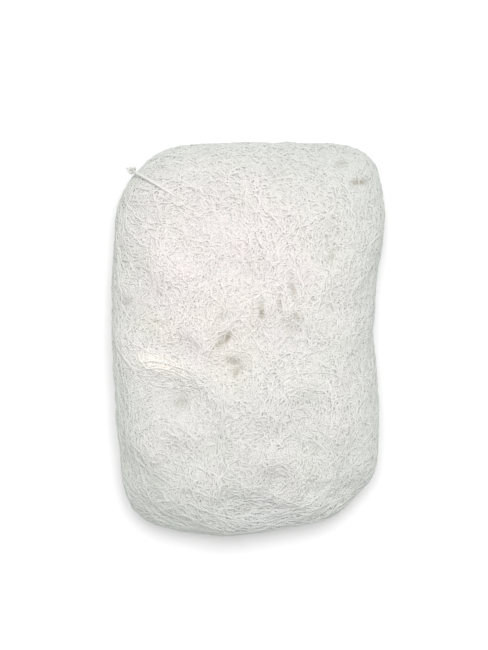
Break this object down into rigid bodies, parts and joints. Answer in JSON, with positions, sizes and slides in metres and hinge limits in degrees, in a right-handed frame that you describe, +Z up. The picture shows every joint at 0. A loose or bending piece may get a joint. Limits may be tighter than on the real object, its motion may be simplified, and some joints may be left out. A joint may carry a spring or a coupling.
{
  "type": "trellis netting bundle",
  "caption": "Long net of soft white knitted cord for climbing plants, wadded into a flat pillow with round corners, with one loose end that is knotted.",
  "frame": {"origin": "on the floor, under the middle of the bundle", "axes": "+Z up through the bundle's flat thickness, +Y along its length, +X across it"},
  "size_m": [0.1666, 0.241, 0.0466],
  "materials": {
    "netting": "matte white cord, knitted in fine loops and curled, with thin dark gaps between its strands",
    "cord": "matte warm white cord, knitted in fine loops"
  },
  "bodies": {
    "root": {"netting_bundle": "netting", "loose_cord": "cord", "cord_knot": "cord"}
  },
  "joints": []
}
